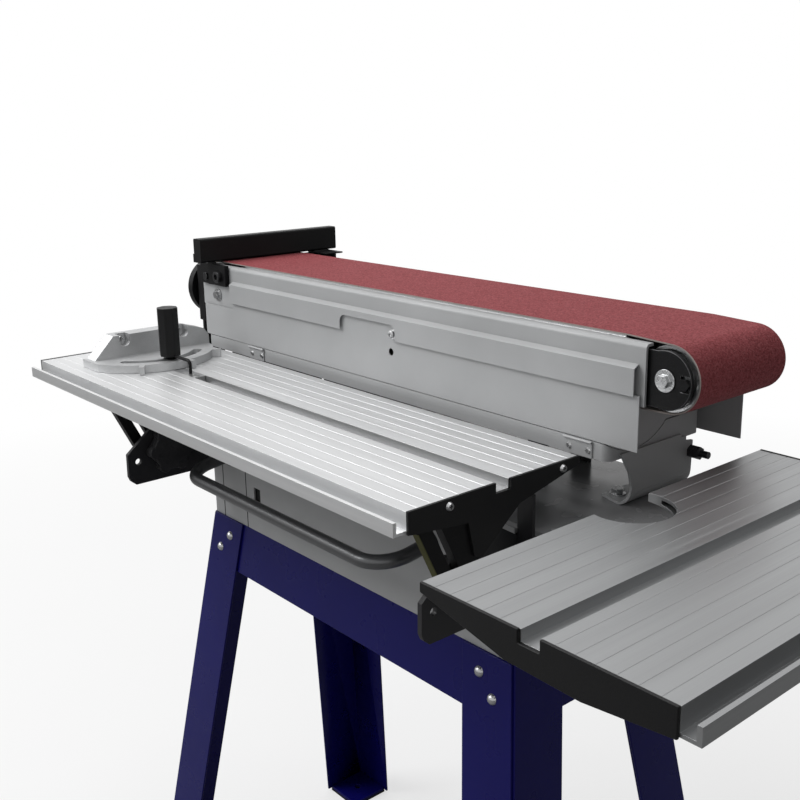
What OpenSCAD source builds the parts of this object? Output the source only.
// Edge sander: a belt unit that lies flat or tips upright, a tilting front table with a mitre gauge,
// a sliding end table, and a box base on a splayed stand. Inside on_machine(), X runs along the belt,
// Y towards the back and Z up. There the front table's top back edge is y = 0 and z = 0.

/* [Tables] */
// Height of the table tops above the floor
table_h = 870; // [800:5:950]
// Length of the front table
table_l = 826; // [780:1:860]
// Width of both tables, without the rail
table_w = 232; // [225:1:240]
// Thickness of both tables along the front
table_t = 21; // [19:0.5:24]
// Thickness of both tables along the thin edge
table_edge_t = 8; // [7:0.5:10]
// Thickness of the tables' skins
skin_t = 3.5; // [3:0.1:4]
// Width of the mitre slot
slot_w = 18.4; // [16:0.1:20]
// Depth of the mitre slot
slot_d = 9.5; // [8:0.1:10.5]
// From the thin edge to the middle of the mitre slot
slot_y = 111.5; // [108:0.5:114]
// Length of the end table
end_table_l = 465; // [420:1:480]
// Radius of the end table's notch
notch_r = 40; // [34:1:44]
// Thickness of the end caps
cap_t = 3; // [2:0.5:4]

/* [Mitre gauge] */
// Radius of the head
head_r = 97; // [92:1:98]
// Thickness of the head
head_t = 11.5; // [8:0.5:12]
// Height of the gauge's fence
gauge_fence_h = 43; // [36:1:44]
// Thickness of the gauge's fence
gauge_fence_t = 26; // [20:1:27]
// Radius of the arc slot in the head
arc_slot_r = 75; // [72:1:78]
// Diameter of the handle across its corners
handle_d = 30; // [24:1:34]
// Height of the handle
handle_h = 69; // [60:1:90]
// Clearance of the bar in its slot, each side
bar_gap = 0.2; // [0.1:0.05:0.5]

/* [Sanding belt] */
// Width of the belt
belt_w = 150; // [146:1:152]
// Thickness of the belt
belt_t = 1.5; // [1.2:0.1:2]
// Height of the sanding face above the tables
belt_top = 126.7; // [125:0.1:128]
// Distance between the drum axles
drum_span = 840; // [836:1:844]
// Radius of the drive drum
drum_r = 48.5; // [46:0.5:50]
// Radius of the idler drum
idler_r = 33.4; // [32:0.2:35]

/* [Belt frame] */
// Thickness of the frame's near web
web_t = 3; // [2.5:0.5:4]
// Thickness of the skirts
skirt_t = 1.5; // [1:0.1:2]
// Height of the platen's steel
platen_t = 9; // [8:0.5:10]
// Length of the fence across the belt
fence_l = 255; // [240:1:258]
// Height of the fence
fence_h = 36.5; // [30:0.5:44]

/* [Drive] */
// Radius of the motor
motor_r = 60; // [52:1:62]
// Length of the motor
motor_l = 172; // [150:1:180]
// Radius of the motor's pulley groove
motor_pulley_r = 30; // [26:1:34]
// Radius of the drum's pulley groove
drum_pulley_r = 40; // [36:1:42]

/* [Base] */
// Length of the base box
box_l = 609; // [600:1:618]
// Depth of the base box
box_d = 231; // [226:1:240]
// Thickness of the box's sheet
sheet_t = 3; // [2:0.5:4]
// Thickness of the bed plate
bed_t = 6; // [5:0.5:8]
// Splay of the stand's legs
splay = 8; // [5:0.2:10]
// Width of each face of a leg
leg_w = 76; // [60:1:80]
// Height of the stand's aprons
apron_h = 74; // [60:1:90]
// Diameter of the tube handle
tube_d = 17; // [15:1:22]
// Outer diameter of the dust outlet
dust_d = 100; // [90:1:102]

/* [Hidden] */
$fn = 64;

// Clearances
run = 0.05;        // radial, of a shaft in its bore
gap = 0.3;         // between bodies that pass each other
slide_gap = 0.5;   // of a screw in a slot
proud = 0.02;      // of a belt's arcs over its straight runs, so that they cross and don't just touch

// Base box and bed plate
box_x0 = -358;
box_x1 = box_x0 + box_l;
box_y0 = -66;
box_y1 = box_y0 + box_d;
bed_z1 = -63;
bed_z0 = bed_z1 - bed_t;
bed_x1 = box_x1 + 129;
box_z0 = -224;
mid_x = (box_x0 + box_x1) / 2;
mid_y = (box_y0 + box_y1) / 2;
seams = [box_x0 + 25, box_x0 + 87];
front_slot = [box_x0 + 107, box_x0 + 123, -179, -159];

// Front table
table_right = box_x1 + 25;
table_left = table_right - table_l;
rail_w = 15.5;
rail_lip = 4;
rail_top = 7;
rail_floor = 3;
taper_w = 95;
rib_t = 4;
rib_pitch = 34;
groove_w = 0.8;
groove_d = 0.3;
first_groove = 14;
groove_end = 8;
first_cell = 14;
cap_rise = 0.6;

// End table, notched round the idler drum
end_x = table_right + 116.4;
end_back = 150;
notch_x = 10;
notch_y = -76;

// Belt loop
belt_y0 = 35.8;
belt_y1 = belt_y0 + belt_w;
idler_x = 358.6;
drum_x = idler_x - drum_span;
loop_gap = 0.3;
loop_out = loop_gap + belt_t;
loop_top = belt_top - belt_t;
idler_drop = 2.4;  // of the idler drum's top below the platen's
drum_z = belt_top - loop_out - drum_r;
idler_z = belt_top - loop_out - idler_r - idler_drop;
loop_tilt = atan2(idler_z - drum_z, idler_x - drum_x);
drum_y0 = belt_y0 + 1.2;
drum_y1 = belt_y1 - 1.2;
shaft_r = 10;

// Tipping pivot of the belt unit
tip_y = 62;
tip_z = 79;
pivot_r = 20;
hub_r = 45;
hub_cap_r = 24;
hub_cap_t = 3;

// Near web and the end plate behind the drive drum
web_y0 = 23.3;
web_y1 = web_y0 + web_t;
web_z0 = 59;
web_z1 = 122.6;
web_left = -512.8;
web_right = 338.6;
end_plate_x1 = drum_x - drum_r - loop_out - 2.2;
end_plate_t = 4;
end_plate_x0 = end_plate_x1 - end_plate_t;
end_plate_z0 = 30;
end_plate_z1 = 118;
spine_x0 = -418;
spine_x1 = 250;
platen_x1 = spine_x1 + 56;
spine_y0 = belt_y0 + 4;
spine_y1 = belt_y1 - 4.8;
spine_z0 = 66;
spine_wall = 3;
stay_x = [-390, -60, 220];
pad_t = 3;
platen_z1 = loop_top - gap;
spine_z1 = platen_z1 - pad_t - platen_t;

// Skirts and the slotted rail
rail_y0 = 16;
rail_z0 = 69.5;
rail_z1 = 98;
rail_x0 = -424;
rail_x1 = 330.5;
rail_slot = [-148, -35];
skirt_y = 19.9;
skirt_x0 = -505;
skirt_x1 = 335;
skirt_z0 = 12;
skirt_z1 = 60;
sweep_r = norm([tip_y - skirt_y, tip_z - skirt_z0]) + 0.6;
far_y1 = 199;
far_z0 = -10;
far_x1 = 340;
slot_screw = [-41, 78];
skirt_hole = [-47, 54];
skirt_hole_r = 4.6;
web_bolt = [-469, 77];
screw_r = 6.5;

// Motor plate, belt drive and motor
plate_y0 = 216;
plate_t = 6;
plate_y1 = plate_y0 + plate_t;
plate_x1 = -310;
plate_z0 = -60;
motor_x = -380;
motor_z = 5;
drive_span = norm([motor_x - drum_x, motor_z - drum_z]);
drive_angle = atan2(motor_z - drum_z, motor_x - drum_x);
vbelt_rise = 4;  // above the bottom of the pulleys' grooves
vbelt_w = 9;
pulley_y0 = far_y1 + 3;
pulley_w = 12;
guard_gap = 2.5;
guard_t = 1.2;
rotor_r = 9;
bearing_r = 22;
bearing_w = 11;

// Fence and its brackets
fence_x = -478.5;
fence_t = 20;
fence_y0 = -3.6;
fence_z0 = belt_top + 1;
fence_round = 3;
bracket_x0 = -510;
bracket_mid = -484;
bracket_x1 = -434;
bracket_y = 16;
bracket_z0 = 93;
far_bracket_z0 = 99;
far_bracket_z1 = belt_top - 2.4;
big_screw = [-452.6, 106.7];
small_screw = [-491.5, 104];

// Idler end
yoke_y = web_y1 + 1.5;
yoke_t = 5;
yoke_r = 29.7;
yoke_h = 28.5;
yoke_far = belt_y1 + 2.8;
tension_travel = 12;
yoke_x0 = spine_x1 + tension_travel + 2;
axle_r = 10;
axle_washer_t = 1.2;
track_x = 22.5;
track_r = 4;
track_slot = [10, 16];

// Rest bracket at the pan's free end
rest_t = 3;
rest_y0 = 50.6;
rest_y1 = 161;
rest_foot_x0 = 262;
rest_bolt_x = rest_foot_x0 + 12;
rest_bolt_y = [70, 130];
cross_bolt = [158.6, -24];
cross_bolt_r = 4;
cross_nut_r = 7.5;

// Pan under the belt
pan_x0 = -500;
pan_x1 = 300;
pan_y0 = 19;
pan_y1 = 180;
pan_z0 = -7;
pan_z1 = 20;
pan_t = 1.5;
pan_r = 10;
dust_x = -430;
dust_y = 119;
dust_l = 60;
dust_wall = 2;
drop_r = dust_d / 2 + 4;
collar_r = dust_d / 2 + 2.5;
collar_x = dust_x - drop_r - 1;
dust_flange_r = drop_r + 5;
spout_z = pan_z0 - 68;
drop_z0 = spout_z - dust_d / 2 - 3;
support_x = [-250, 150];
support_w = 30;
support_t = 4;
support_y0 = 60;
support_y1 = 140;
clip_x = [-358, 260.5];
clip_w = 38;
clip_t = 1.5;
clip_rise = 9;
knuckle_r = 2;

// Stand
pad_h = 4;
foot_z = pad_h - table_h;
leg_t = 3;
leg_drop = box_z0 - foot_z;
leg_out = leg_drop * tan(splay);
leg_run = leg_drop / cos(splay);
foot_w = 70;
foot_t = 5;
foot_hole_r = 5.5;
hole_x = box_l / 2 + leg_out - foot_w / 2;
hole_y = box_d / 2 + leg_out - foot_w / 2;
dome_r = 7;
dome_spots = [[49, 25], [29, 48]];

// Tilting of the front table
tilt_y = -128;
tilt_z = -44;
clamp_y = -137.5;
clamp_z = -109;
clamp_r = norm([clamp_y - tilt_y, clamp_z - tilt_z]);
clamp_angle = atan2(clamp_z - tilt_z, clamp_y - tilt_y);
table_tilt = 30;
pin_r = 6;
hub_wall = 5;
stud_r = 5;
trunnion_t = 6;
bracket_t = 12;
bracket_gap = 7;
knob_r = 28;
knob_t = 15;
bracket_pad_y0 = -165;
bracket_pad_y1 = [-96, -112];  // left, and right beside the level stop
bracket_pad_z = [-127, -95];
trunnion_x = [box_x0 - trunnion_t, box_x1];
table_bracket_x = [trunnion_x[0] - bracket_gap - bracket_t, trunnion_x[1] + trunnion_t + bracket_gap];

// Tube handle on the front panel
handle_z = -136.5;
handle_y = -138;
handle_rise = 10;
handle_x0 = box_x0 + 47;
handle_x1 = box_x1 - 131;
bend_r = 40;
handle_flange_r = 15;

// Mitre gauge
head_x = table_left + 95;
gauge_fence_x0 = head_x - 12;
gauge_left = -197;
gauge_right = -14;
head_clip = [92, 97];  // of the head, from its middle to the front and to the back
gauge_notches = [-150, -56];
handle_x = head_x + arc_slot_r;
bar_l = 190;
bar_x1 = head_x + 155;
bar_holes = [4, 11.5];  // from the bar's end
pointer_r = 3;
pointer_reach = 130.5;
pointer_z = head_t + 6;
handle_lift = 5;
lug_angles = [-30, 10, 52];
lug_l = 12;
lug_w = 7;
swivel = 45;

// End table slide
rod_r = 11;
rod_y = [15, 125];
rod_z = -90;
rod_l = 350;
rod_in = 60;
carriage_x = [end_x + 47.6, end_x + 167.6];
carriage_w = 40;
carriage_side = 24;

// Left arm and pivot stand
arm_y0 = 22;
arm_y1 = 58;
arm_z0 = -115;
arm_wall = 4;
stand_x1 = end_plate_x0 - 1;
stand_t = 7;
stand_x0 = stand_x1 - stand_t;
boss_x0 = stand_x0 - 6;
lever_y = 46;
lever_z = -14;
lever_r = 10;
lever_l = 62;

// Switch on the left end panel
switch_y = 26;
switch_z = -170;
switch_size = [42, 62, 104];
button_r = 13;
button_travel = 4;
button_rise = 7;
button_z = 26;

blue = "midnightblue";
grey = "silver";
dark = "dimgray";
black = [0.09, 0.09, 0.1];
zinc = "gainsboro";
alu = [0.86, 0.87, 0.88];
grit = [0.55, 0.26, 0.27];

// Moves a shape from the table's corner to the frame whose origin is on the floor
module on_machine() translate([-mid_x, -mid_y, table_h]) children();

// Extrusions along each axis: a 2D shape is read as (y, z), (x, z) or (x, y)
module span_x(x0, x1) translate([x0, 0, 0]) rotate([90, 0, 90]) linear_extrude(x1 - x0) children();
module span_y(y0, y1) translate([0, y1, 0]) rotate([90, 0, 0]) linear_extrude(y1 - y0) children();
module span_z(z0, z1) translate([0, 0, z0]) linear_extrude(z1 - z0) children();

module rod_x(x0, x1, y, z, r) translate([x0, y, z]) rotate([0, 90, 0]) cylinder(h = x1 - x0, r = r);
module rod_y(y0, y1, x, z, r) translate([x, y1, z]) rotate([90, 0, 0]) cylinder(h = y1 - y0, r = r);
module rod_z(z0, z1, x, y, r) translate([x, y, z0]) cylinder(h = z1 - z0, r = r);
module block(p0, p1) translate(p0) cube(p1 - p0);
module hex_y(y0, y1, x, z, r) translate([x, y1, z]) rotate([90, 0, 0]) cylinder(h = y1 - y0, r = r, $fn = 6);
module hex_z(z0, z1, x, y, r) translate([x, y, z0]) cylinder(h = z1 - z0, r = r, $fn = 6);

// A rectangle from p0 to p1 with its four corners rounded
module round_rect(p0, p1, r) {
    translate([p0.x + r, p0.y]) square([p1.x - p0.x - 2 * r, p1.y - p0.y]);
    translate([p0.x, p0.y + r]) square([p1.x - p0.x, p1.y - p0.y - 2 * r]);
    for (x = [p0.x + r, p1.x - r], y = [p0.y + r, p1.y - r])
        translate([x, y]) circle(r);
}

// A straight slot between two points
module slot_2d(p0, p1, r) {
    turn = atan2(p1.y - p0.y, p1.x - p0.x);
    translate(p0) rotate(turn) translate([0, -r]) square([norm(p1 - p0), 2 * r]);
    translate(p0) circle(r);
    translate(p1) circle(r);
}

// An arc slot of radius r between two angles
module arc_slot_2d(r, half, a0, a1) {
    far = 2 * r;
    steps = 6;
    intersection() {
        difference() {
            circle(r + half, $fn = 128);
            circle(r - half, $fn = 128);
        }
        polygon([[0, 0], for (i = [0:steps]) let (a = a0 + (a1 - a0) * i / steps) far * [cos(a), sin(a)]]);
    }
    // a hair smaller, so that they cross the arcs' ends and don't just touch them
    for (a = [a0, a1]) translate(r * [cos(a), sin(a)]) circle(half - 0.02);
}

// A block from y0 to y1 that fills a belt's path round two drums of radii r0 and r1.
// The second drum lies at span and angle from the first.
module belt_path(y0, y1, span, angle, r0, r1) {
    lean = asin((r0 - r1) / span);
    rotate([0, -angle, 0]) {
        translate([0, y1, 0]) rotate([90, 0, 0]) cylinder(h = y1 - y0, r = r0 + proud, $fn = 96);
        translate([span, y1, 0]) rotate([90, 0, 0]) cylinder(h = y1 - y0, r = r1 + proud, $fn = 96);
        span_y(y0, y1) polygon([
            r0 * [sin(lean), cos(lean)], [span, 0] + r1 * [sin(lean), cos(lean)],
            [span, 0] + r1 * [sin(lean), -cos(lean)], r0 * [sin(lean), -cos(lean)]]);
    }
}

// The same for the sanding belt, which runs flat over the platen and then down to the idler drum
module sanding_path(y0, y1, off) {
    r0 = drum_r + off;
    r1 = idler_r + off;
    drum = [drum_x, drum_z];
    idler = [idler_x, idler_z];
    flat_end = [platen_x1, drum_z + r0];
    rise = flat_end - idler;
    high = atan2(rise.y, rise.x) - acos(r1 / norm(rise));
    low = loop_tilt + asin((r0 - r1) / norm(idler - drum));
    translate([drum_x, y1, drum_z]) rotate([90, 0, 0]) cylinder(h = y1 - y0, r = r0 + proud, $fn = 96);
    translate([idler_x, y1, idler_z]) rotate([90, 0, 0]) cylinder(h = y1 - y0, r = r1 + proud, $fn = 96);
    span_y(y0, y1) polygon([
        drum + [0, r0], flat_end, idler + r1 * [cos(high), sin(high)],
        idler + r1 * [sin(low), -cos(low)], drum + r0 * [sin(low), -cos(low)]]);
}
module drive_path(y0, y1, off) translate([drum_x, 0, drum_z])
    belt_path(y0, y1, drive_span, drive_angle, drum_pulley_r + off, motor_pulley_r + off);

// Both tables: section across the extrusion, as (distance from the thin edge, z)
function under_z(w) = w < taper_w ? -table_edge_t - (table_t - table_edge_t) * w / taper_w : -table_t;
module cell_2d(w0, w1) polygon([
    [w0, -skin_t], [w1, -skin_t], [w1, under_z(w1) + skin_t - 1], [w0, under_z(w0) + skin_t - 1]]);
module table_outline() polygon([
    [0, 0], [table_w, 0], [table_w, rail_floor - table_t], [table_w + rail_w - rail_lip, rail_floor - table_t],
    [table_w + rail_w - rail_lip, -rail_top], [table_w + rail_w, -rail_top], [table_w + rail_w, -table_t],
    [taper_w, -table_t], [0, -table_edge_t]]);
// The mitre slot, the hollow cells and the fine grooves in the top
module table_hollows() {
    cell = rib_pitch - rib_t;
    far_cell = slot_y + slot_w / 2 + rib_t;
    translate([slot_y - slot_w / 2, -slot_d]) square([slot_w, slot_d + 1]);
    for (w = [first_cell:rib_pitch:slot_y - slot_w / 2 - rib_pitch]) cell_2d(w, w + cell);
    for (w = [far_cell:rib_pitch:table_w - rib_t - cell]) cell_2d(w, w + cell);
    for (w = [first_groove:rib_pitch / 2:table_w - groove_end])
        if (abs(w - slot_y) > slot_w / 2 + groove_end / 2)
            translate([w - groove_w / 2, -groove_d]) square([groove_w, groove_d + 1]);
}

// End cap of a table, as (distance from the thin edge, z)
module cap_2d(ear) difference() {
    union() {
        polygon([
            [0, cap_rise], [table_w, cap_rise], [table_w, -table_t - 1], [158, -table_t - 9],
            [88, -table_t - 7], [0, -table_edge_t]]);
        if (ear) polygon([[88, -table_t - 7], [141, -70], [150, -66], [158, -table_t - 9]]);
    }
    translate([slot_y - slot_w / 2 - 1, -slot_d - 0.5]) square([slot_w + 2, slot_d + 3]);
}

module bed_plate() color(grey) on_machine()
    block([box_x0, box_y0, bed_z0], [bed_x1, box_y1, bed_z1]);

module front_panel() color(grey) on_machine() difference() {
    block([box_x0, box_y0, box_z0], [box_x1, box_y0 + sheet_t, bed_z0]);
    for (x = seams) block([x - 0.6, box_y0 - 1, box_z0 - 1], [x + 0.6, box_y0 + 0.8, bed_z0 + 1]);
    block([front_slot[0], box_y0 - 1, front_slot[2]], [front_slot[1], box_y0 + sheet_t + 1, front_slot[3]]);
}

module back_panel() color(grey) on_machine()
    block([box_x0, box_y1 - sheet_t, box_z0], [box_x1, box_y1, bed_z0]);

module end_panels() color(grey) on_machine() difference() {
    for (x = [box_x0, box_x1 - sheet_t])
        block([x, box_y0 + sheet_t, box_z0], [x + sheet_t, box_y1 - sheet_t, bed_z0]);
    for (y = rod_y) rod_x(box_x1 - sheet_t - 1, box_x1 + 1, y, rod_z, rod_r);
}

// One pressed leg at the box's front left corner, splayed both ways
module leg() {
    module face(w) linear_extrude(leg_t) polygon([
        [0, 0], [w, 0], [w - leg_run * sin(splay), -leg_run], [-leg_run * sin(splay), -leg_run]]);
    difference() {
        union() {
            rotate([90 - splay, 0, 0]) face(leg_w);
            rotate([0, splay, 0]) rotate([90, 0, -90]) mirror([1, 0, 0]) face(leg_w);
            translate([1 - leg_out, 1 - leg_out, -leg_drop]) cube([foot_w - 1, foot_w - 1, foot_t]);
        }
        translate([-500, -500, 0]) cube([1000, 1000, 100]);
        translate([-500, -500, -leg_drop - 100]) cube([1000, 1000, 100]);
        translate([foot_w / 2 - leg_out, foot_w / 2 - leg_out, -leg_drop - 1]) cylinder(h = 50, r = foot_hole_r);
    }
}
module at_corners() for (sx = [0, 1], sy = [0, 1])
    translate([mid_x, mid_y, box_z0]) mirror([sx, 0, 0]) mirror([0, sy, 0])
        translate([-box_l / 2, -box_d / 2, 0]) children();

module stand_legs() color(blue) on_machine() at_corners() leg();

// An apron between two legs, lying against their inner faces
module apron(l) rotate([90 - splay, 0, 0]) translate([0, 0, -leg_t - 0.2]) linear_extrude(leg_t)
    polygon([
        [leg_t + 1, 0], [l - leg_t - 1, 0],
        [l - leg_t - 1 + apron_h * sin(splay), -apron_h], [leg_t + 1 - apron_h * sin(splay), -apron_h]]);

module long_aprons() color(blue) on_machine() for (s = [0, 1])
    translate([mid_x, mid_y, box_z0]) mirror([0, s, 0]) translate([-box_l / 2, -box_d / 2, 0]) apron(box_l);

module short_aprons() color(blue) on_machine() for (s = [0, 1])
    translate([mid_x, mid_y, box_z0]) mirror([s, 0, 0]) rotate(-90)
        translate([-box_d / 2 + leg_t + 1, -box_l / 2, 0]) apron(box_d - 2 * leg_t - 2);

// Domed bolts on the legs and hexagon bolts on the rest bracket's foot
module machine_bolts() color(zinc) on_machine() {
    for (s = [0, 1]) translate([mid_x, mid_y, box_z0]) mirror([s, 0, 0])
        translate([-box_l / 2, -box_d / 2, 0]) rotate([90 - splay, 0, 0])
            for (p = dome_spots) translate([p.x - p.y * sin(splay), -p.y, leg_t]) dome();
    foot_top = bed_z1 + rest_t;
    for (y = rest_bolt_y) {
        rod_z(foot_top, foot_top + 1.5, rest_bolt_x, y, 9);
        hex_z(foot_top + 1.5, foot_top + 7, rest_bolt_x, y, 7.2);
    }
}
module dome() intersection() {
    translate([0, 0, -dome_r * 0.35]) sphere(dome_r);
    cylinder(h = dome_r, r = dome_r);
}

module foot_pads() color(black) on_machine() at_corners()
    difference() {
        translate([-leg_out, -leg_out, -leg_drop - pad_h]) cube([foot_w, foot_w, pad_h]);
        translate([foot_w / 2 - leg_out, foot_w / 2 - leg_out, -leg_drop - pad_h - 1])
            cylinder(h = pad_h + 2, r = foot_hole_r);
    }

// Bent tube on the front panel, its front lower than its ends
module tube_handle() color(dark) on_machine() {
    lean = atan2(handle_rise, box_y0 - handle_y);
    arm_end = norm([handle_rise, box_y0 - handle_y]);
    difference() {
        translate([0, handle_y, handle_z]) rotate([lean, 0, 0]) {
            for (s = [0, 1]) {
                x = s == 0 ? handle_x0 : handle_x1;
                toward = s == 0 ? 1 : -1;
                rod_y(bend_r, arm_end + 3, x, 0, tube_d / 2);
                translate([x + toward * bend_r, bend_r, 0]) rotate([0, 0, s == 0 ? 180 : 270])
                    rotate_extrude(angle = 90) translate([bend_r, 0]) circle(tube_d / 2);
            }
            rod_x(handle_x0 + bend_r, handle_x1 - bend_r, 0, 0, tube_d / 2);
        }
        block([handle_x0 - 30, box_y0, handle_z - 40], [handle_x1 + 30, box_y0 + 40, handle_z + 60]);
    }
    for (x = [handle_x0, handle_x1])
        rod_y(box_y0 - 3, box_y0, x, handle_z + handle_rise, handle_flange_r);
}

// Side view of a trunnion plate, as (y, z), with the arc slot that the clamp stud runs along
module trunnion_2d(back) difference() {
    union() {
        polygon([
            [back, bed_z0 - 6], [box_y0 - 1, bed_z0 - 6],
            [tilt_y + pin_r + hub_wall, tilt_z], [tilt_y - pin_r - hub_wall, tilt_z],
            [-164, -79], [-198.5, -108], [-199, -140], [-196, -147], [-189, -153], [back, -153]]);
        translate([tilt_y, tilt_z]) circle(pin_r + hub_wall + 2);
    }
    translate([tilt_y, tilt_z])
        arc_slot_2d(clamp_r, stud_r + slide_gap, clamp_angle - 0.8, clamp_angle + table_tilt + 0.8);
    translate([-183.5, -120.5]) circle(4.5);
}
module trunnion(side, back) {
    x = trunnion_x[side];
    span_x(x, x + trunnion_t) trunnion_2d(back);
    // the pin that the table bracket turns on; only the left one has room for a head
    if (side == 0) {
        rod_x(table_bracket_x[0] - 1, x, tilt_y, tilt_z, pin_r);
        rod_x(table_bracket_x[0] - 5, table_bracket_x[0] - 1, tilt_y, tilt_z, pin_r + 4);
    } else {
        rod_x(x + trunnion_t, table_bracket_x[1] + bracket_t - 0.5, tilt_y, tilt_z, pin_r);
    }
}
module left_trunnion() color(black) on_machine() trunnion(0, -12);
module right_trunnion() color(dark) on_machine() trunnion(1, -12);

// Angle bracket with the screw that the table comes down on at zero tilt
module level_stop() color(dark) on_machine() {
    x0 = trunnion_x[1] + trunnion_t + 1;
    x1 = table_right + cap_t;
    y1 = box_y0;
    y0 = y1 - 4;
    x = (x0 + table_right) / 2;
    block([x0, y0, -100], [x1, y1, -25]);
    hex_z(-25, -21, x, (y0 + y1) / 2, 4.5);
    rod_z(-21, under_z(-(y0 + y1) / 2) - gap, x, (y0 + y1) / 2, 2.5);
}

// Bent bracket that carries the free end of the pan and the belt unit
module rest_bracket() color(grey) on_machine() {
    x0 = pan_x1 + 0.2;
    x1 = x0 + rest_t;
    span_x(x0, x1) polygon([
        [rest_y0 - 14.1, pan_z0 + 6], [rest_y0 + 0.9, bed_z1 + 38], [rest_y0 + 5.8, bed_z1 + 19.5],
        [rest_y0, bed_z1], [rest_y1, bed_z1], [rest_y1 + 2, pan_z0 - 5], [rest_y1 - 11, pan_z0 - 3],
        [rest_y1 - 11, pan_z0 + 2], [rest_y1 - 20, pan_z0 + 3], [rest_y1 - 20, pan_z0 + 6]]);
    span_z(bed_z1, bed_z1 + rest_t) round_rect([rest_foot_x0, rest_y0], [x1, rest_y1], 12);
    rod_x(x0 - 8, x1 + 24, cross_bolt[0], cross_bolt[1], cross_bolt_r);
    for (x = [x0 - 6.5, x1, x1 + 7])
        translate([x, cross_bolt[0], cross_bolt[1]]) rotate([0, 90, 0]) cylinder(h = 6.5, r = cross_nut_r, $fn = 6);
}

module dust_pan() color(grey) on_machine() difference() {
    span_z(pan_z0, pan_z1) round_rect([pan_x0, pan_y0], [pan_x1, pan_y1], pan_r);
    span_z(pan_z0 + pan_t, pan_z1 + 1)
        round_rect([pan_x0 + pan_t, pan_y0 + pan_t], [pan_x1 - pan_t, pan_y1 - pan_t], pan_r - pan_t);
    rod_x(pan_x0 - 1, pan_x1 + 1, tip_y, tip_z, sweep_r);
    rod_z(pan_z0 - 1, pan_z0 + pan_t + 1, dust_x, dust_y, dust_d / 2 - dust_wall);
}

// Two clips that the near skirt's lower edge comes down behind
module pan_clips() color(zinc) on_machine() for (x = clip_x) {
    y1 = pan_y0;
    y0 = y1 - clip_t;
    block([x - clip_w / 2, y0, pan_z0], [x + clip_w / 2, y1, clip_rise]);
    rod_x(x - clip_w / 2, x + clip_w / 2, y1 - knuckle_r, clip_rise + 1, knuckle_r);
    for (dx = [-12, 14]) rod_y(y0 - 1.5, y0, x + dx, 1, 3.2);
}

module pan_supports() color(dark) on_machine() for (x = support_x) {
    for (y = [support_y0, support_y1 - support_t]) block([x, y, bed_z1], [x + support_w, y + support_t, pan_z0]);
    block([x, support_y0 + support_t, pan_z0 - 3], [x + support_w, support_y1 - support_t, pan_z0]);
}

// Drop under the pan, with a spout at its left that the dust hose is pushed over up to a collar
module dust_outlet() color(black) on_machine() difference() {
    union() {
        rod_z(pan_z0 - 3, pan_z0, dust_x, dust_y, dust_flange_r);
        rod_z(drop_z0, pan_z0 - 3, dust_x, dust_y, drop_r);
        rod_x(collar_x, dust_x, dust_y, spout_z, collar_r);
        rod_x(dust_x - drop_r - dust_l, dust_x, dust_y, spout_z, dust_d / 2);
    }
    rod_z(drop_z0 + dust_wall, pan_z0 + 1, dust_x, dust_y, drop_r - dust_wall);
    rod_x(dust_x - drop_r - dust_l - 1, dust_x, dust_y, spout_z, dust_d / 2 - dust_wall);
}

module pivot_arm() color(grey) on_machine() difference() {
    block([boss_x0, arm_y0, arm_z0], [box_x0, arm_y1, bed_z0]);
    block([boss_x0 + arm_wall, arm_y0 + arm_wall, arm_z0 + arm_wall],
        [box_x0 + 1, arm_y1 - arm_wall, bed_z0 - arm_wall]);
}

module pivot_stand() color(black) on_machine() difference() {
    union() {
        span_x(stand_x0, stand_x1)
            polygon([[arm_y0 + 14, bed_z0], [arm_y1, bed_z0], [96, 58], [tip_y, tip_z], [arm_y0 + 14, 50]]);
        rod_x(boss_x0, stand_x1, tip_y, tip_z, hub_r);
        block([boss_x0, arm_y0, bed_z0], [stand_x1, arm_y1, bed_z0 + 6]);
    }
    rod_x(boss_x0 - 1, stand_x1 + 1, tip_y, tip_z, pivot_r + run);
    rod_x(stand_x0 - 1, stand_x1 + 1, lever_y, lever_z, stud_r + run);
}

module end_table_rods() color(zinc) on_machine() for (y = rod_y) {
    rod_x(box_x1 - rod_in, box_x1 + rod_l, y, rod_z, rod_r - 0.02);
    rod_x(box_x1, box_x1 + 8, y, rod_z, rod_r + 9);
}

module switch_box() color(dark) on_machine() difference() {
    x0 = box_x0 - switch_size.x;
    block([x0, switch_y - switch_size.y / 2, switch_z - switch_size.z / 2],
        [box_x0, switch_y + switch_size.y / 2, switch_z + switch_size.z / 2]);
    for (z = [switch_z + button_z, switch_z - button_z])
        rod_x(x0 - 1, x0 + button_travel + 8, switch_y, z, button_r + gap);
}
module button(z, r) {
    x0 = box_x0 - switch_size.x;
    rod_x(x0 - button_rise, x0 + 3, switch_y, z, r);
}
module start_button() color("green") on_machine() button(switch_z + button_z, button_r);
module stop_button() color("red") on_machine() button(switch_z - button_z, button_r);

module clamp_lever() color(black) on_machine() {
    x0 = boss_x0 - 16;
    rod_x(x0 + 12, stand_x1, lever_y, lever_z, stud_r);
    rod_x(x0, stand_x0 - gap, lever_y, lever_z, lever_r);
    rod_z(lever_z - lever_l, lever_z, x0 + 7, lever_y, 4);
    translate([x0 + 7, lever_y, lever_z - lever_l]) sphere(8);
}

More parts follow.
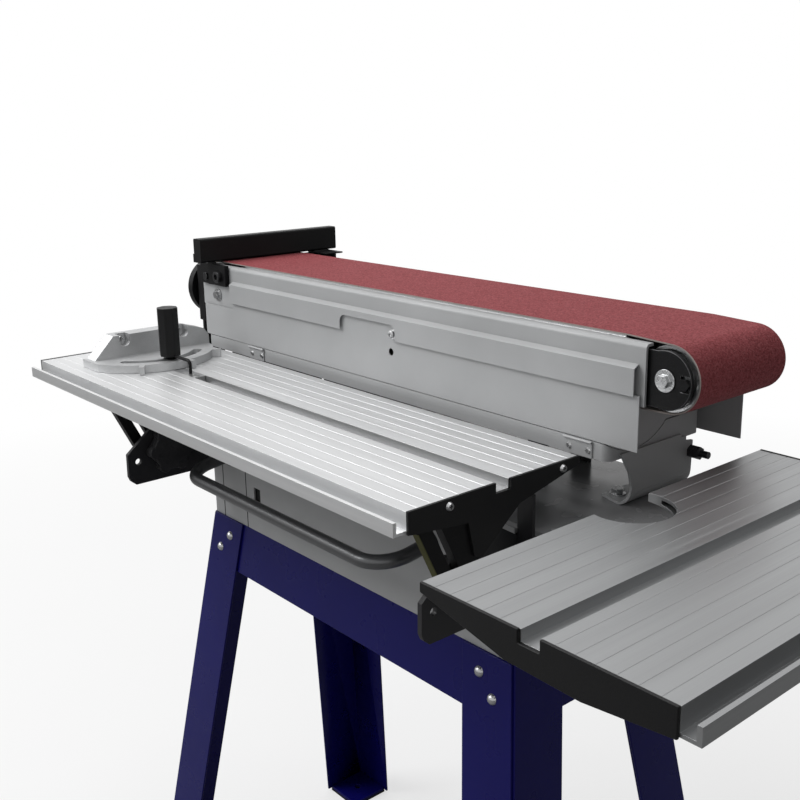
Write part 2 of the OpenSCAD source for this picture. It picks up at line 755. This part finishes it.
// Near web with its bent top, and the box spine inside the belt
module belt_frame() color(grey) on_machine() {
    edge_r = 5;
    flange_y1 = belt_y0 - 1;
    // the flange reaches the platen between the drums
    block([spine_x0, flange_y1 - 0.5, web_z1 - web_t], [platen_x1, belt_y0 + 1.7, web_z1]);
    span_x(web_left, web_right) {
        translate([web_y0, web_z0]) square([web_t, web_z1 - web_z0 - edge_r]);
        translate([web_y0 + edge_r, web_z1 - web_t]) square([flange_y1 - web_y0 - edge_r, web_t]);
        translate([web_y0 + edge_r, web_z1 - edge_r]) intersection() {
            difference() {
                circle(edge_r);
                circle(edge_r - web_t);
            }
            translate([-edge_r, 0]) square(edge_r);
        }
    }
    difference() {
        block([spine_x0, spine_y0, spine_z0], [spine_x1, spine_y1, spine_z1]);
        block([spine_x0 - 1, spine_y0 + spine_wall, spine_z0 + spine_wall],
            [spine_x1 + 1, spine_y1 - spine_wall, spine_z1 - spine_wall]);
    }
    // tubes that join the spine to the web, and stays that hold the far skirt
    for (x = [-380, -150, 40, 220]) block([x, web_y1 - 0.5, spine_z0 + 6], [x + 24, spine_y0 + 0.5, spine_z1 - 8]);
    for (x = stay_x) {
        rod_y(spine_y1 - 0.5, far_y1 - skirt_t - 0.5, x, spine_z0 + 14, 7);
        block([x - 9, far_y1 - skirt_t - 3, 40], [x + 9, far_y1 - skirt_t, spine_z0 + 14]);
    }
}

// Plate behind the drive drum with its bent near edge and the tipping shaft
module drive_end_plate() color(black) on_machine() {
    corner = 10;
    span_z(end_plate_z0, end_plate_z1) {
        translate([end_plate_x0, web_y0 + corner]) square([end_plate_t, plate_y1 - web_y0 - corner]);
        translate([end_plate_x0 + corner, web_y0]) square([web_left - gap - end_plate_x0 - corner, web_t]);
        translate([end_plate_x0 + corner, web_y0 + corner]) intersection() {
            difference() {
                circle(corner);
                circle(corner - end_plate_t);
            }
            translate([-corner, -corner]) square(corner);
        }
    }
    rod_x(boss_x0 - 1 - hub_cap_t, end_plate_x0 + 1, tip_y, tip_z, pivot_r);
    rod_x(boss_x0 - 1 - hub_cap_t, boss_x0 - 1, tip_y, tip_z, hub_cap_r);
}

module motor_plate() color(dark) on_machine() difference() {
    block([end_plate_x1, plate_y0, plate_z0], [plate_x1, plate_y1, end_plate_z1]);
    rod_y(plate_y0 - 1, plate_y1 + 1, drum_x, drum_z, shaft_r + run);
    rod_y(plate_y0 - 1, plate_y1 + 1, motor_x, motor_z, rotor_r + 4);
    // clear of the stays and the pan when the unit tips
    block([-330, plate_y0 - 1, end_plate_z1 - 40], [plate_x1 + 1, plate_y1 + 1, end_plate_z1 + 1]);
}

module platen() color(dark) on_machine() {
    block([spine_x0, belt_y0 + 2, spine_z1], [platen_x1, belt_y1 - 2, spine_z1 + platen_t]);
    block([spine_x0 + 6, belt_y0 + 3, spine_z1 + platen_t], [platen_x1 - 4, belt_y1 - 3, platen_z1]);
}

module sanding_belt() color(grit) on_machine() difference() {
    sanding_path(belt_y0, belt_y1, loop_out);
    sanding_path(belt_y0 - 1, belt_y1 + 1, loop_gap);
}

module skirt_rail() color(grey) on_machine() difference() {
    span_x(rail_x0, rail_x1) polygon([
        [rail_y0, rail_z0], [rail_y0 + 1.5, rail_z0], [rail_y0 + 1.5, rail_z1 - 0.6],
        [web_y0, rail_z1 + 2.4], [web_y0, rail_z1 + 4], [rail_y0, rail_z1]]);
    span_y(rail_y0 - 1, rail_y0 + 1.6) {
        translate([rail_slot[0], rail_z0 - 1]) square([rail_slot[1] - rail_slot[0], 11]);
        slot_2d([rail_slot[0] + 10, rail_z0 + 10], [rail_slot[1] - 10, rail_z0 + 10], 10);
    }
}

module near_skirt() color(grey) on_machine() difference() {
    span_y(skirt_y, skirt_y + skirt_t) polygon([
        [skirt_x0, skirt_z0], [skirt_x1, skirt_z0], [skirt_x1, rail_z0 + 1], [rail_x1 - 4, rail_z0 + 1],
        [rail_x1 - 4, rail_z0 + 22], [rail_x0 + 2, rail_z0 + 22],
        [rail_x0 + 2, skirt_z1], [skirt_x0, skirt_z1]]);
    rod_y(skirt_y - 1, skirt_y + skirt_t + 1, skirt_hole.x, skirt_hole.y, skirt_hole_r);
}

// Far skirt with the baffle that closes the belt's chute above the pan's end
module far_skirt() color(grey) on_machine() {
    span_y(far_y1 - skirt_t, far_y1)
        translate([skirt_x0, far_z0]) square([far_x1 - skirt_x0, web_z0 - far_z0]);
    span_x(pan_x1 - 2, pan_x1 - 0.5) difference() {
        translate([skirt_y + skirt_t, -1]) square([far_y1 - 2 * skirt_t - skirt_y, 48]);
        difference() {
            translate([0, -2]) square([far_y1 + 1, pan_z1 + 3]);
            translate([tip_y, tip_z]) circle(sweep_r - 0.4, $fn = 128);
        }
    }
}

module frame_screws() color(zinc) on_machine() {
    // screw and washer in the rail's slot, with the spacer behind it
    rod_y(rail_y0 + 2, skirt_y, slot_screw[0], slot_screw[1], screw_r);
    rod_y(rail_y0 - 1.5, rail_y0 + 2, slot_screw[0], slot_screw[1], screw_r - 2);
    // bolt and washer beside the drum's near bearing
    rod_y(web_y0 - 1.6, web_y0, web_bolt[0], web_bolt[1], 10);
    hex_y(web_y0 - 6.5, web_y0 - 1.6, web_bolt[0], web_bolt[1], 6.2);
    // screws that hold the fence's near bracket
    difference() {
        rod_y(bracket_y - 6, bracket_y, big_screw[0], big_screw[1], 8.5);
        hex_y(bracket_y - 7, bracket_y - 2, big_screw[0], big_screw[1], 5);
    }
    rod_y(bracket_y - 2, bracket_y + 2, small_screw[0], small_screw[1], 6);
}

// Fence across the belt, with the flat bar behind it
module fence() color(black) on_machine() {
    x0 = fence_x - fence_t / 2;
    span_y(fence_y0, fence_y0 + fence_l)
        round_rect([x0, fence_z0], [x0 + fence_t, fence_z0 + fence_h], fence_round);
    block([x0 - 3, fence_y0, fence_z0], [x0, fence_y0 + fence_l, fence_z0 + 13]);
}

module fence_brackets() color(black) on_machine() {
    block([bracket_mid, bracket_y, bracket_z0], [bracket_x1, web_y0, web_z1 + 2]);
    block([bracket_x0, bracket_y + 2, bracket_z0], [bracket_mid, web_y0, web_z1 + 2]);
    block([bracket_mid, bracket_y, web_z1 + 2], [fence_x + fence_t / 2, web_y0, fence_z0]);
    block([bracket_mid, plate_y1, far_bracket_z0], [bracket_x1, plate_y1 + 4, far_bracket_z1]);
    block([bracket_mid, far_y1 + 6, far_bracket_z1], [bracket_x1, fence_y0 + fence_l - 12, belt_top]);
    block([bracket_mid, far_y1 + 8, belt_top], [fence_x + fence_t / 2, fence_y0 + fence_l - 14, fence_z0]);
}

module drum_bearings() color(dark) on_machine() for (y0 = [web_y1, plate_y1]) difference() {
    rod_y(y0, y0 + (y0 == web_y1 ? drum_y0 - web_y1 - 1 : bearing_w), drum_x, drum_z, bearing_r);
    rod_y(y0 - 1, y0 + bearing_w + 1, drum_x, drum_z, shaft_r + run);
}

// Motor with its cooling fins, hung on the motor plate
module motor_body() color(grey) on_machine() difference() {
    union() {
        rod_y(plate_y1, plate_y1 + motor_l, motor_x, motor_z, motor_r - 8);
        rod_y(plate_y1, plate_y1 + 12, motor_x, motor_z, motor_r);
        rod_y(plate_y1 + motor_l - 12, plate_y1 + motor_l, motor_x, motor_z, motor_r);
        for (a = [0:15:345]) translate([motor_x, 0, motor_z]) rotate([0, a, 0])
            block([-1.5, plate_y1 + 12, motor_r - 10], [1.5, plate_y1 + motor_l - 12, motor_r - 1]);
    }
    rod_y(plate_y1 - 1, plate_y1 + 30, motor_x, motor_z, rotor_r + 4);
}

module motor_cover() color(black) on_machine() {
    rod_y(plate_y1 + motor_l, plate_y1 + motor_l + 26, motor_x, motor_z, motor_r - 2);
    block([motor_x - 32, plate_y1 + 40, motor_z - motor_r - 22],
        [motor_x + 32, plate_y1 + 110, motor_z - motor_r + 1]);
}

// Rim that closes the space round the belt drive, between the far skirt and the motor plate
module drive_guard() color(black) on_machine() difference() {
    drive_path(far_y1, plate_y0, vbelt_rise + guard_gap + guard_t);
    drive_path(far_y1 - 1, plate_y0 + 1, vbelt_rise + guard_gap);
}

module v_belt() color(black) on_machine() {
    mid = pulley_y0 + pulley_w / 2;
    difference() {
        drive_path(mid - vbelt_w / 2, mid + vbelt_w / 2, vbelt_rise);
        drive_path(mid - vbelt_w, mid + vbelt_w, gap);
    }
}

// A grooved pulley on an axis along Y
module pulley(x, z, r, bore) {
    mid = pulley_y0 + pulley_w / 2;
    difference() {
        union() {
            rod_y(mid - vbelt_w / 2 - gap, mid + vbelt_w / 2 + gap, x, z, r);
            rod_y(pulley_y0, mid - vbelt_w / 2 - gap, x, z, r + 3);
            rod_y(mid + vbelt_w / 2 + gap, pulley_y0 + pulley_w, x, z, r + 3);
        }
        rod_y(pulley_y0 - 1, pulley_y0 + pulley_w + 1, x, z, bore);
    }
}

module drive_drum() color(zinc) on_machine() {
    rod_y(drum_y0, drum_y1, drum_x, drum_z, drum_r);
    rod_y(web_y1, plate_y1 + bearing_w + 4, drum_x, drum_z, shaft_r);
}
module drum_pulley() color(dark) on_machine() pulley(drum_x, drum_z, drum_pulley_r, shaft_r);

module motor_rotor() color(dark) on_machine() {
    pulley(motor_x, motor_z, motor_pulley_r, rotor_r - 1);
    rod_y(pulley_y0, plate_y1 + 28, motor_x, motor_z, rotor_r - 1);
}

// Two side plates joined by a bar, sliding along the frame to stretch the belt
module idler_yoke() color(black) on_machine() {
    for (y = [yoke_y, yoke_far]) span_y(y, y + yoke_t) difference() {
        union() {
            translate([idler_x, idler_z]) circle(yoke_r);
            translate([yoke_x0, idler_z - yoke_h]) square([idler_x - yoke_x0, 2 * yoke_h]);
        }
        translate([idler_x, idler_z]) circle(axle_r);
        translate([idler_x + track_x, idler_z]) square(track_slot, center = true);
    }
    block([yoke_x0, yoke_y + yoke_t, idler_z - 10], [yoke_x0 + 24, yoke_far, idler_z + 10]);
    rod_x(spine_x1 - 60, yoke_x0, (yoke_y + yoke_far) / 2, idler_z, 8);
}

module idler_axle() color(zinc) on_machine() {
    rod_y(yoke_y, yoke_far + yoke_t, idler_x, idler_z, axle_r);
    rod_y(yoke_y - axle_washer_t, yoke_y, idler_x, idler_z, 11.5);
    hex_y(yoke_y - axle_washer_t - 5, yoke_y - axle_washer_t, idler_x, idler_z, 7);
    hex_y(yoke_far + yoke_t, yoke_far + yoke_t + 6, idler_x, idler_z, 9);
}

module idler_drum() color(zinc) on_machine() difference() {
    rod_y(drum_y0, drum_y1, idler_x, idler_z, idler_r);
    rod_y(drum_y0 - 1, drum_y1 + 1, idler_x, idler_z, axle_r + run);
}

module tracking_screw() color(black) on_machine() {
    hex_y(yoke_y - 4, yoke_y, idler_x + track_x, idler_z, 6.5);
    rod_y(yoke_y, yoke_y + yoke_t, idler_x + track_x, idler_z, track_r);
}

module front_table() color(alu) on_machine() difference() {
    span_x(table_left, table_right) mirror([1, 0]) table_outline();
    span_x(table_left - 1, table_right + 1) mirror([1, 0]) table_hollows();
}

module table_caps() color(black) on_machine() {
    for (x = [table_left - cap_t, table_right]) span_x(x, x + cap_t) mirror([1, 0]) cap_2d(true);
    for (w = [26, 182], x = [table_left - cap_t - 1.5, table_right + cap_t]) rod_x(x, x + 1.5, -w, -7, 3.6);
}

// Slanted brackets under the table, which turn on the trunnions' pins
module table_bracket_2d(side) difference() {
    pad = [[bracket_pad_y0, bracket_pad_z[0]], [bracket_pad_y1[side], bracket_pad_z[1]]];
    hub_r = pin_r + hub_wall;
    union() {
        polygon([[-219, -table_t], [-203, -table_t], [-159, -112], [-175.6, -112]]);
        polygon([[-192.6, -table_t], [-160.6, -table_t], [-124, -106], [-152, -106]]);
        round_rect(pad[0], pad[1], 5);
        translate([-219, -table_t - 5]) square([219 + tilt_y + hub_r, 5]);
        translate([tilt_y - hub_r, tilt_z]) square([2 * hub_r, -table_t - tilt_z]);
        translate([tilt_y, tilt_z]) circle(hub_r);
    }
    translate([tilt_y, tilt_z]) circle(pin_r + run);
    translate([clamp_y, clamp_z]) circle(stud_r + run);
}
module table_brackets() color(black) on_machine()
    for (side = [0, 1]) span_x(table_bracket_x[side], table_bracket_x[side] + bracket_t) table_bracket_2d(side);

// A six-lobed knob on an axis along X, with its stud
module knob(x0, x1, stud0, stud1) {
    span_x(x0, x1) translate([clamp_y, clamp_z]) {
        circle(knob_r);
        for (a = [0:60:300]) translate(knob_r * 0.9 * [cos(a), sin(a)]) circle(knob_r * 0.32);
    }
    rod_x(stud0, stud1, clamp_y, clamp_z, stud_r);
}
module left_knob() color(black) on_machine()
    knob(box_x0 + 1, box_x0 + 1 + knob_t, table_bracket_x[0] - 4, box_x0 + 1);
module right_knob() color(black) on_machine()
    knob(box_x1 - 1 - knob_t, box_x1 - 1, box_x1 - 1, table_bracket_x[1] + bracket_t + 4);

module gauge_bar() color(zinc) on_machine() {
    half = slot_w / 2 - bar_gap;
    difference() {
        block([bar_x1 - bar_l, -slot_y - half, -slot_d + bar_gap], [bar_x1, -slot_y + half, -bar_gap]);
        for (d = bar_holes) rod_z(-3, 1, bar_x1 - d, -slot_y, 2.6);
    }
    rod_z(-bar_gap - 1, head_t - 3, head_x, -slot_y, 6);
    // bent pointer, from under the handle out and down to the bar
    reach = head_x + pointer_reach;
    rod_z(-bar_gap - 1, pointer_z - 1.5, reach, -slot_y, pointer_r);
    rod_x(handle_x + handle_d / 2 + 1, reach, -slot_y, pointer_z, pointer_r);
    translate([reach, -slot_y, pointer_z]) sphere(pointer_r + 0.2);
}

module gauge_head() color(alu) on_machine() difference() {
    union() {
        span_z(gap, head_t) intersection() {
            union() {
                translate([head_x, -slot_y]) circle(head_r, $fn = 128);
                for (a = lug_angles) translate([head_x, -slot_y]) rotate(a)
                    translate([head_r - 6, -lug_w / 2]) square([lug_l + 6, lug_w]);
            }
            translate([gauge_fence_x0, -slot_y - head_clip[0]]) square([200, head_clip[0] + head_clip[1]]);
        }
        span_x(gauge_fence_x0, gauge_fence_x0 + gauge_fence_t) polygon([
            [gauge_left, gap], [gauge_right, gap], [gauge_right, gauge_fence_h - 19],
            [gauge_right - 8, gauge_fence_h - 8.5], [gauge_right - 36, gauge_fence_h],
            [gauge_left + 30, gauge_fence_h], [gauge_left, head_t]]);
    }
    translate([0, 0, -1]) span_z(0, head_t + 2) translate([head_x, -slot_y])
        arc_slot_2d(arc_slot_r, 7, -swivel - 4, swivel + 4);
    rod_z(0, head_t - 2, head_x, -slot_y, 6 + run);
    // screws' half-round recesses in the fence's near face
    for (y = gauge_notches) span_x(gauge_fence_x0 + 10, gauge_fence_x0 + gauge_fence_t + 1)
        slot_2d([y, 34], [y, 60], 8);
}

module gauge_handle() color(black) on_machine() {
    translate([handle_x, -slot_y, head_t + handle_lift]) cylinder(h = handle_h, r = handle_d / 2, $fn = 8);
    rod_z(-bar_gap + gap, head_t + handle_lift, handle_x, -slot_y, 4);
    rod_z(head_t + gap, head_t + 2.3, handle_x, -slot_y, 10);
    rod_z(head_t + 2.3, head_t + handle_lift, handle_x, -slot_y, 7);
}

module end_table() color(alu) on_machine() difference() {
    span_y(end_back - end_table_l, end_back) translate([end_x, 0]) table_outline();
    span_y(end_back - end_table_l - 1, end_back + 1) translate([end_x, 0]) table_hollows();
    rod_z(-table_t - 1, 1, end_x + notch_x, notch_y, notch_r);
}

module end_table_caps() color(black) on_machine() {
    for (y = [end_back - end_table_l - cap_t, end_back])
        span_y(y, y + cap_t) translate([end_x, 0]) cap_2d(false);
}

module end_table_carriage() color(dark) on_machine() for (x = carriage_x) difference() {
    block([x, rod_y[0] - carriage_side, rod_z - 20], [x + carriage_w, rod_y[1] + carriage_side, -table_t]);
    block([x - 1, rod_y[0] + carriage_side, rod_z - 21],
        [x + carriage_w + 1, rod_y[1] - carriage_side, -table_t - 20]);
    for (y = rod_y) rod_x(x - 1, x + carriage_w + 1, y, rod_z, rod_r + run);
}

bed_plate();
front_panel();
back_panel();
end_panels();
stand_legs();
long_aprons();
short_aprons();
machine_bolts();
foot_pads();
tube_handle();
left_trunnion();
right_trunnion();
level_stop();
rest_bracket();
dust_pan();
pan_clips();
pan_supports();
dust_outlet();
pivot_arm();
pivot_stand();
end_table_rods();
switch_box();
start_button();
stop_button();
clamp_lever();
belt_frame();
drive_end_plate();
motor_plate();
platen();
sanding_belt();
skirt_rail();
near_skirt();
far_skirt();
frame_screws();
fence();
fence_brackets();
drum_bearings();
motor_body();
motor_cover();
drive_guard();
v_belt();
drive_drum();
drum_pulley();
motor_rotor();
idler_yoke();
idler_axle();
idler_drum();
tracking_screw();
front_table();
table_caps();
table_brackets();
left_knob();
right_knob();
gauge_bar();
gauge_head();
gauge_handle();
end_table();
end_table_caps();
end_table_carriage();
